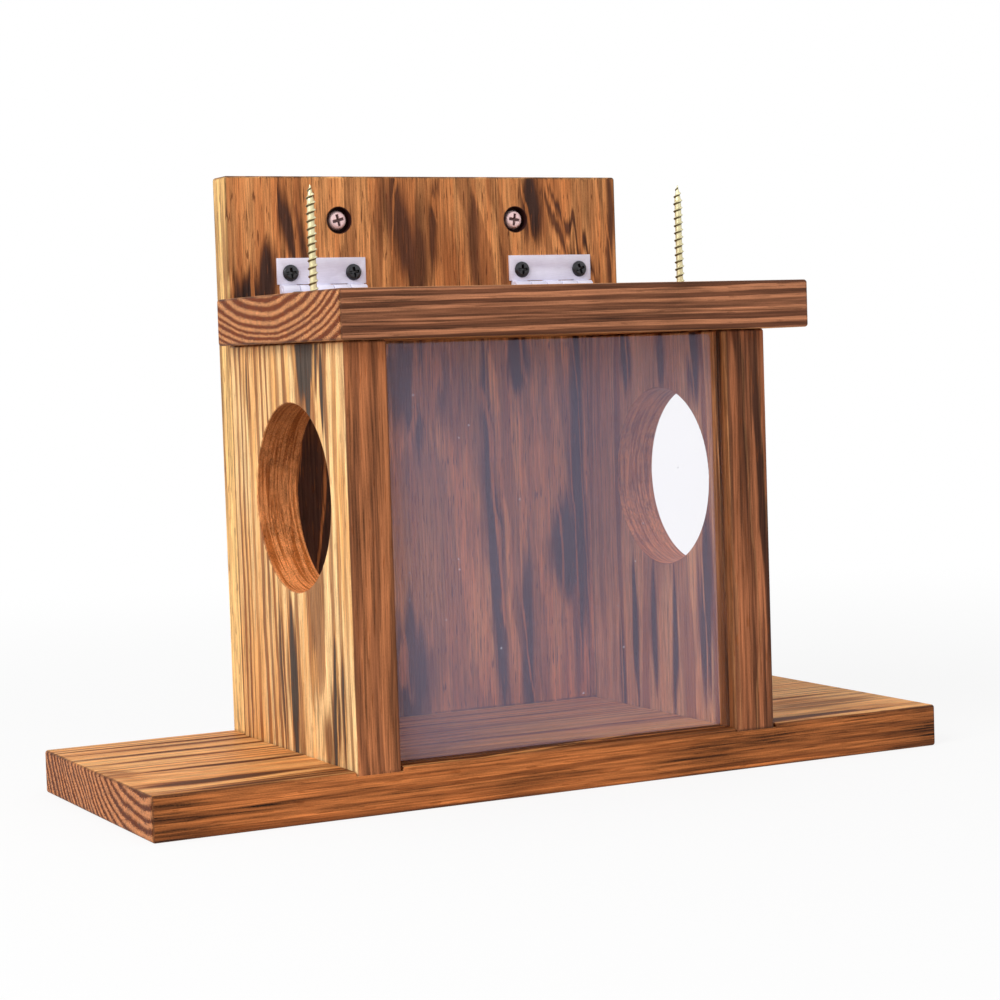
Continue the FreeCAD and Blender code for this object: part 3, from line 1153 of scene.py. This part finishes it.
@dataclass
class Boards:
    """The five torched boards, with the round holes that show in them; lengths in millimetres."""

    entry: Bore = Bore(across=-10.3, along=111.8, radius=35.0, sanded=True)
    # The counterbores' walls take burnt wood with painted shade
    counterbores: tuple[Bore, ...] = tuple(
        Bore(across=column, along=MOUNTING_HEIGHT, radius=5.2, floor=MOUNTING_FLOOR)
        for column in MOUNTING_COLUMNS
    )

    def build(self) -> None:
        """Dress each board."""
        for pine in (self._left(), self._right(), self._back(), self._lid(), self._base()):
            dress(pine.name, pine.material())

    def _left(self) -> TorchedPine:
        """The left side board: golden, with grey burns above and below its entry.

        Returns:
            The board's finish.
        """
        strokes = (
            Stroke(-27, 165, 11.5, 22, 1.2), Stroke(-40, 156, 2.0, 19, 0.9), Stroke(30, 151, 2.2, 20, 0.8),
            Stroke(5.5, 45, 3.0, 36, 0.95), Stroke(-5, 38, 5.6, 36, 1.1), Stroke(-44, 32, 4.0, 28, 1.05),
            Stroke(-51, 36, 2.4, 29, 0.85), Stroke(-25, 48, 5.0, 17, 0.42), Stroke(-36, 22, 6.0, 15, 0.48),
        )
        sawing = Sawing(
            Axis.Z, Axis.Y, Axis.X, pith_across=-27.0, pith_through=-113.0, ring_width=5.4, ring_at=40.0,
            crowding=1.25, lean=0.02, sway=2.2, seed=1.3,
        )
        figure = Figure(
            late=0.42, contrast=0.8, edge_contrast=0.6, scatter=0.12, patchwork=0.5, even=0.5,
            ripening=0.0022,
        )
        name = "left_side_board"
        return TorchedPine(name, *box_mm(name), sawing, figure, strokes=strokes, bores=(self.entry,))

    def _right(self) -> TorchedPine:
        """The right side board: browner, with long dark bands inside.

        Returns:
            The board's finish.
        """
        strokes = (
            Stroke(25.5, 30, 2.6, 32, 0.8), Stroke(13.5, 46, 3.0, 30, 0.9), Stroke(-2, 46, 3.0, 32, 0.95),
            Stroke(-17.5, 40, 2.8, 32, 0.9), Stroke(-42, 60, 7.0, 46, 0.9), Stroke(16, 160, 5.0, 18, 0.8),
            Stroke(-12, 161, 4.0, 16, 0.8), Stroke(-37, 158, 6.0, 22, 0.9), Stroke(-56, 50, 11.0, 160, 0.6),
        )
        tones = PineTones(
            pale=tone(230, 172, 122), amber=tone(206, 142, 92), edge_pale=tone(180, 112, 75),
            edge_ring=tone(56, 34, 26), ember=tone(116, 62, 32), char=tone(66, 48, 42),
        )
        sawing = Sawing(
            Axis.Z, Axis.Y, Axis.X, pith_across=-10.0, pith_through=30.0, ring_width=5.6, ring_at=50.0,
            crowding=1.3, lean=-0.02, sway=2.4, seed=5.1,
        )
        figure = Figure(late=0.5, contrast=0.75, edge_contrast=1.0, scatter=0.25, patchwork=0.5)
        name = "right_side_board"
        return TorchedPine(name, *box_mm(name), sawing, figure, tones, strokes, (self.entry,))

    def _back(self) -> TorchedPine:
        """The back board: orange brown with soft flames and many dark pores.

        Returns:
            The board's finish.
        """
        above_lid = (
            Stroke(-72, 193, 7.0, 20, 0.85, 0.2), Stroke(-78, 184, 12.0, 16, 0.9),
            Stroke(-61, 211, 3.4, 30, 0.75, -0.12), Stroke(-54, 205, 2.8, 24, 0.65, -0.15),
            Stroke(-13, 217, 11.0, 28, 0.65, -0.15), Stroke(-7, 197, 6.5, 24, 0.6),
            Stroke(1, 212, 2.6, 34, 0.6, 0.1), Stroke(20, 206, 4.4, 30, 0.6),
            Stroke(48, 222, 5.0, 20, 0.85), Stroke(84, 208, 2.6, 40, 0.6),
            Stroke(33, 190, 2.4, 26, 0.5), Stroke(66, 212, 3.0, 26, 0.68, -0.5),
            Stroke(72, 226, 9.0, 22, 0.32), Stroke(58, 216, 2.4, 22, 0.6, -0.4),
        )
        inside = (
            Stroke(-62, 156, 18.0, 34, 0.85), Stroke(-54, 108, 22.0, 48, 0.75),
            Stroke(-70, 34, 12.0, 26, 0.7), Stroke(-9, 154, 23.0, 30, 0.68), Stroke(-13, 36, 14.0, 32, 0.7),
            Stroke(25, 95, 5.0, 100, 0.85, -0.05), Stroke(38, 158, 8.0, 16, 0.8),
            Stroke(41, 40, 4.4, 50, 0.8), Stroke(64, 110, 5.6, 90, 0.85), Stroke(58, 80, 8.4, 26, 0.9),
        )
        tones = PineTones(
            pale=tone(224, 156, 98), amber=tone(200, 126, 73), ring=tone(112, 64, 38),
            edge_pale=tone(238, 190, 122), edge_ring=tone(122, 72, 38), ember=tone(104, 62, 40),
            char=tone(60, 44, 40),
        )
        sawing = Sawing(
            Axis.Z, Axis.X, Axis.Y, pith_across=-4.0, pith_through=100.0, ring_width=6.4, ring_at=60.0,
            crowding=1.5, lean=0.06, sway=4.0, seed=8.2,
        )
        # low_painted_light is painted light on the board's lower part, inside the feeder
        figure = Figure(
            late=0.5, contrast=0.52, edge_contrast=0.9, scatter=0.25, patchwork=0.1, pores=0.85, grain=1.15,
            far_burn=0.6, low_painted_light=0.16,
        )
        name = "back_board"
        strokes = above_lid + inside
        return TorchedPine(name, *box_mm(name), sawing, figure, tones, strokes, self.counterbores)

    @staticmethod
    def _lid() -> TorchedPine:
        """The lid: brown bands along its front and bowed rings on its ends.

        Returns:
            The board's finish.
        """
        tones = PineTones(
            pale=tone(226, 160, 100), amber=tone(208, 136, 78), ring=tone(104, 62, 40),
            edge_pale=tone(171, 112, 79), edge_ring=tone(74, 39, 24), end_pale=tone(196, 133, 86),
            end_ring=tone(108, 47, 10),
        )
        sawing = Sawing(
            Axis.X, Axis.Y, Axis.Z, pith_across=-4.0, pith_through=204.0, ring_width=2.7, ring_at=30.0,
            crowding=1.1, lean=0.01, sway=0.8, seed=3.6, flatten=0.42,
        )
        figure = Figure(late=0.55, contrast=0.9, edge_contrast=0.85, scatter=0.3, patchwork=0.3, even=0.65)
        return TorchedPine("lid_board", *box_mm("lid_board"), sawing, figure, tones)

    @staticmethod
    def _base() -> TorchedPine:
        """The base: tan with bold dark lines, browned at its left front corner, with painted shade along
        the window's groove.

        Returns:
            The board's finish.
        """
        left_perch = (
            Stroke(-43, -138, 6.5, 34, 1.0), Stroke(-14, -160, 26.0, 8, 0.38),
            Stroke(-14, -122, 3.0, 44, 0.75), Stroke(12, -120, 2.6, 48, 0.75),
            Stroke(26, -110, 2.6, 64, 0.75), Stroke(39, -110, 2.6, 64, 0.8),
            Stroke(48, -110, 2.4, 64, 0.8), Stroke(-59, -130, 2.4, 38, 0.9),
        )
        # The first stroke inside is painted shade along the window's groove, not a burn
        inside = (
            Stroke(-55, 0, 9.0, 150, 1.0), Stroke(-22, 12, 2.4, 70, 0.6), Stroke(4, -8, 3.0, 80, 0.5),
            Stroke(21, 10, 2.0, 80, 0.6), Stroke(36, -5, 2.0, 80, 0.55),
        )
        right_perch = (
            Stroke(-52, 128, 8.0, 40, 0.4), Stroke(-30, 126, 14.0, 34, 0.55), Stroke(-8, 120, 4.0, 40, 0.6),
            Stroke(-48, 130, 4.0, 30, 0.5),
        )
        tones = PineTones(
            pale=tone(244, 183, 115), amber=tone(228, 156, 90), ring=tone(116, 54, 10),
            edge_pale=tone(203, 121, 65), edge_ring=tone(94, 43, 16), end_pale=tone(196, 128, 82),
            ember=tone(116, 56, 14), char=tone(84, 46, 20),
        )
        sawing = Sawing(
            Axis.X, Axis.Y, Axis.Z, pith_across=-50.0, pith_through=62.0, ring_width=3.7, ring_at=60.0,
            crowding=1.2, lean=0.01, sway=2.0, seed=6.4,
        )
        figure = Figure(
            late=0.52, contrast=0.55, edge_contrast=0.62, scatter=0.3, patchwork=0.3, edge_burn=0.08,
            end_shade=0.42, bright_at=-30.0,
        )
        strokes = left_perch + inside + right_perch
        return TorchedPine("base_board", *box_mm("base_board"), sawing, figure, tones, strokes)


@dataclass
class Window:
    """The clear sheet and the film on its face; lengths in millimetres."""

    film_gap: float = 0.03
    corner: float = 1.5
    corner_steps: int = 6

    def build(self) -> None:
        """Dress the sheet and lay the film on it."""
        dress("front_window", Finish.CLEAR_SHEET.made())
        low, high = box_mm("window_film")
        outline = self._outline(low, high)
        work = bmesh.new()
        depths = (low[Axis.Y], high[Axis.Y] - self.film_gap)
        front, back = ([work.verts.new((x * MM, y * MM, z * MM)) for x, z in outline] for y in depths)
        work.faces.new(front)
        work.faces.new(back)
        for one in range(len(outline)):
            two = (one + 1) % len(outline)
            work.faces.new((front[one], front[two], back[two], back[one]))
        bmesh.ops.recalc_face_normals(work, faces=work.faces)
        mesh = bpy.data.meshes.new("window_film_cut")
        work.to_mesh(mesh)
        work.free()
        mesh.materials.append(Finish.FILM.made())
        piece = linked("window_film_cut", mesh)
        stand_in(piece, "window", "window_film")

    def _outline(self, low: Place, high: Place) -> list[Pair]:
        """The film's outline with its rounded corners.

        Args:
            low: The film's lowest corner.
            high: Its highest corner.

        Returns:
            Points across and up, round from the right.
        """
        points = []
        for quarter in range(4):
            x = high[Axis.X] - self.corner if quarter in (0, 3) else low[Axis.X] + self.corner
            z = high[Axis.Z] - self.corner if quarter in (0, 1) else low[Axis.Z] + self.corner
            for step in range(self.corner_steps + 1):
                angle = math.pi / 2 * (quarter + step / self.corner_steps)
                points.append((x + self.corner * math.cos(angle), z + self.corner * math.sin(angle)))
        return points


@dataclass
class Hinge:
    """One butt hinge with softened edges; lengths in millimetres, angles in degrees."""

    side: str
    screw_seed: int
    edge_softness: float = 0.22
    sharp_angle: float = 40.0
    flat_angle: float = 0.5
    edge_steps: int = 2
    seam: float = 0.001
    screw_column: float = 13.5
    board_seat: Pair = (46.8, 196.9)
    lid_seat: Pair = (38.1, 188.2)
    screw: ScrewSize = ScrewSize(
        head_radius=3.3, head_height=1.2, core_radius=1.1, crest_radius=1.5, pitch=1.3, length=11.0, tip=3.0
    )

    def build(self) -> None:
        """Make the leaves, the pin and the screws."""
        for part, body in (("board_leaf", "house"), ("lid_leaf", "lid"), ("pin", "house")):
            self._softened(f"{self.side}_hinge_{part}", body)
        self._screws("board", "house", self.board_seat, (0, 1, 0))
        self._screws("lid", "lid", self.lid_seat, (0, 0, -1))

    def _softened(self, node: str, body: str) -> None:
        """A copy of a CAD node with its edges broken.

        Args:
            node: The node's name.
            body: The body that it moves with.
        """
        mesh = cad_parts[node].data.copy()
        work = bmesh.new()
        work.from_mesh(mesh)
        bmesh.ops.remove_doubles(work, verts=work.verts, dist=self.seam * MM)
        flat = math.radians(self.flat_angle)
        bmesh.ops.dissolve_limit(
            work, angle_limit=flat, verts=work.verts, edges=work.edges, delimit={"NORMAL"}
        )
        work.to_mesh(mesh)
        work.free()
        mesh.materials.clear()
        mesh.materials.append(Finish.HINGE_STEEL.made())
        piece = linked(node + "_softened", mesh)
        bevel = piece.modifiers.new("broken_edges", "BEVEL")
        bevel.width = self.edge_softness * MM
        bevel.segments = self.edge_steps
        bevel.limit_method = "ANGLE"
        bevel.angle_limit = math.radians(self.sharp_angle)
        settled(piece)
        for polygon in piece.data.polygons:
            polygon.use_smooth = True
        piece.data.set_sharp_from_angle(angle=math.radians(self.sharp_angle))
        stand_in(piece, body, node)

    def _screws(self, leaf: str, body: str, seat: Pair, direction: Place) -> None:
        """The two screws of a leaf.

        Args:
            leaf: The leaf's name.
            body: The body that they move with.
            seat: Where their heads sit, on Y and Z.
            direction: The way that they are driven.
        """
        low, high = box_mm(f"{self.side}_hinge_board_leaf")
        middle = (low[Axis.X] + high[Axis.X]) / 2
        seats = [(middle + offset, *seat) for offset in (-self.screw_column, self.screw_column)]
        ScrewSet(
            f"{self.side}_hinge_{leaf}_screws", body, seats, direction, Finish.BLACK_SCREW, HeadForm.DOMED,
            self.screw, self.screw_seed,
        ).build()


@dataclass
class LongScrews:
    """The corn screws on the lid and the mounting screws in the back board; lengths in millimetres."""

    corn_columns: Pair = (-76.2, 82.8)
    corn_seat: Pair = (-9.6, 169.4)
    corn: ScrewSize = ScrewSize(
        head_radius=4.0, head_height=2.4, core_radius=1.3, crest_radius=1.9, pitch=2.9, length=58.0, tip=6.0
    )
    mounting_columns: Pair = MOUNTING_COLUMNS
    mounting_seat: Pair = (MOUNTING_FLOOR, MOUNTING_HEIGHT)
    mounting: ScrewSize = ScrewSize(
        head_radius=3.9, head_height=3.1, core_radius=1.5, crest_radius=2.0, pitch=2.2, length=35.0, tip=5.0
    )
    seeds: tuple[int, int] = (4, 9)

    def build(self) -> None:
        """Make both pairs."""
        for number, side in enumerate(("left", "right")):
            ScrewSet(
                side + "_corn_screw", "lid", [(self.corn_columns[number], *self.corn_seat)], (0, 0, 1),
                Finish.YELLOW_ZINC, HeadForm.COUNTERSUNK, self.corn, self.seeds[number],
            ).build()
            ScrewSet(
                side + "_mounting_screw", "house", [(self.mounting_columns[number], *self.mounting_seat)],
                (0, 1, 0), Finish.PLATED_SCREW, HeadForm.DOMED, self.mounting, self.seeds[number],
            ).build()


@dataclass
class FrameScrews:
    """The countersunk screws that hold the boards together; lengths in millimetres."""

    head_recess: float = 0.5
    side_column: float = 79.5
    base_rows: Pair = (-35.5, 18.0)
    back_rows: Pair = (51.5, 141.5)
    back_row: float = 54.75
    back_columns: tuple[float, float, float] = (-60.0, 0.0, 60.0)
    rear_face: float = 61.5
    middle_seed: int = 21
    side_seeds: tuple[int, int] = (30, 40)
    rear_seed_step: int = 5
    screw: ScrewSize = ScrewSize(
        head_radius=4.0, head_height=2.4, core_radius=1.4, crest_radius=2.0, pitch=2.0, length=40.0, tip=5.0
    )

    def build(self) -> None:
        """Make the five groups."""
        sunk = self.head_recess
        rear = self.rear_face - sunk
        seats = [(x, self.back_row, sunk) for x in self.back_columns]
        self._group("back_base_screws", seats, (0, 0, 1), self.middle_seed)
        for side, sign, seed in zip(("left", "right"), (-1, 1), self.side_seeds):
            column = sign * self.side_column
            seats = [(column, y, sunk) for y in self.base_rows]
            self._group(side + "_base_screws", seats, (0, 0, 1), seed)
            seats = [(column, rear, z) for z in self.back_rows]
            self._group(side + "_back_screws", seats, (0, -1, 0), seed + self.rear_seed_step)

    def _group(self, node: str, seats: list[Place], direction: Place, seed: int) -> None:
        """One group of screws.

        Args:
            node: The CAD node that they stand for.
            seats: Where the flats of their heads lie.
            direction: The way that they are driven.
            seed: Seed of their turns.
        """
        ScrewSet(
            node, "house", seats, direction, Finish.BLACK_SCREW, HeadForm.COUNTERSUNK, self.screw, seed
        ).build()


@dataclass(frozen=True)
class Lamp:
    """A square soft lamp that looks at the feeder; lengths in metres, power in watts."""

    name: str
    place: Place
    size: float
    power: float
    aim: Place = (0.0, 0.0, 0.1)

    def build(self) -> None:
        """Hang the lamp."""
        light = bpy.data.lights.new(self.name, "AREA")
        light.shape = "SQUARE"
        light.size = self.size
        light.energy = self.power
        lamp = linked(self.name, light)
        lamp.location = self.place
        lamp.rotation_euler = (Vector(self.aim) - Vector(self.place)).to_track_quat("-Z", "Y").to_euler()


@dataclass
class Studio:
    """Floor, background, soft lamps and the camera.

    The lens and the sensor are in millimetres, other lengths in metres and angles in degrees.
    """

    ambient: float = 0.42
    floor_size: float = 8.0
    floor_grey: float = 0.86
    white_near: float = 0.25
    white_far: float = 0.9
    near_white: float = 0.85
    lens: float = 88.15
    sensor: float = 36.0
    clip: Pair = (0.05, 50.0)
    azimuth: float = -27.25
    elevation: float = 3.42
    roll: float = -1.88
    distance: float = 0.95743
    target: Place = (0.00354, 0.0, 0.10547)
    lamps: tuple[Lamp, ...] = (
        Lamp("key", (-1.25, -0.62, 0.95), size=0.9, power=19.0),
        Lamp("fill", (0.9, -1.5, 0.8), size=1.2, power=3.0),
        Lamp("top", (0.1, 0.1, 1.7), size=1.2, power=5.0),
    )

    def build(self) -> None:
        """Make the studio."""
        self._world()
        self._floor()
        for lamp in self.lamps:
            lamp.build()
        self._camera()
        bpy.context.scene.view_settings.view_transform = "Standard"

    @staticmethod
    def _seen(graph: Graph) -> Expr:
        """Find the rays that the viewer sees by eye, in gloss or through glass.

        Args:
            graph: The graph to write in.

        Returns:
            1 for such a ray and 0 for light.
        """
        path = graph.node("ShaderNodeLightPath")
        kinds = ("Is Camera Ray", "Is Glossy Ray", "Is Transmission Ray")
        first, second, third = (graph.out(path, kind) for kind in kinds)
        return first.most(second).most(third)

    def _world(self) -> None:
        """White to the eye, a plain soft level as light."""
        world = bpy.data.worlds.new("studio")
        world.use_nodes = True
        world.node_tree.nodes.clear()
        graph = Graph(world.node_tree)
        level = self._seen(graph) * (1 - self.ambient) + self.ambient
        shade = graph.node("ShaderNodeBackground", None, {"Color": (1, 1, 1, 1), "Strength": level})
        graph.node("ShaderNodeOutputWorld", None, {"Surface": graph.out(shade)})
        bpy.context.scene.world = world

    def _floor(self) -> None:
        """A pale floor that is white to the eye and keeps a soft shadow."""
        paint = Paint("pale_floor")
        x, y, _ = paint.place()
        far = ((x * x + y * y) ** 0.5).ease(self.white_near / MM, self.white_far / MM)
        glow = self._seen(paint) * (far * (1 - self.near_white) + self.near_white)
        plain = paint.out(paint.node("ShaderNodeBsdfDiffuse", None, {"Color": (*[self.floor_grey] * 3, 1)}))
        white = paint.out(paint.node("ShaderNodeEmission", None, {"Color": (1, 1, 1, 1), "Strength": 1.0}))
        mixed = paint.out(paint.node("ShaderNodeMixShader", None, {0: glow, 1: plain, 2: white}))
        paint.node("ShaderNodeOutputMaterial", None, {"Surface": mixed})
        mesh = bpy.data.meshes.new("floor")
        half = self.floor_size / 2
        corners = [(-half, -half, 0), (half, -half, 0), (half, half, 0), (-half, half, 0)]
        mesh.from_pydata(corners, [], [(0, 1, 2, 3)])
        mesh.materials.append(paint.material)
        floor = linked("floor", mesh)

    def _camera(self) -> None:
        """The camera where the photograph was taken."""
        az, el, roll = (math.radians(v) for v in (self.azimuth, self.elevation, self.roll))
        back = Vector((math.sin(az) * math.cos(el), -math.cos(az) * math.cos(el), math.sin(el)))
        level = Vector((0, 0, 1)).cross(back).normalized()
        rise = back.cross(level)
        right = level * math.cos(roll) + rise * math.sin(roll)
        up = rise * math.cos(roll) - level * math.sin(roll)
        data = bpy.data.cameras.new("camera")
        data.lens = self.lens
        data.sensor_width = self.sensor
        data.clip_start, data.clip_end = self.clip
        camera = linked("camera", data)
        turn = Matrix((right, up, back)).transposed().to_4x4()
        camera.matrix_world = Matrix.Translation(Vector(self.target) + back * self.distance) @ turn
        bpy.context.scene.camera = camera


def main() -> None:
    """Build the studio, then dress the feeder piece by piece."""
    logging.basicConfig(level=logging.INFO)
    Studio().build()
    Boards().build()
    Window().build()
    Hinge("left", screw_seed=2).build()
    Hinge("right", screw_seed=7).build()
    LongScrews().build()
    FrameScrews().build()


if __name__ == "__main__":
    main()
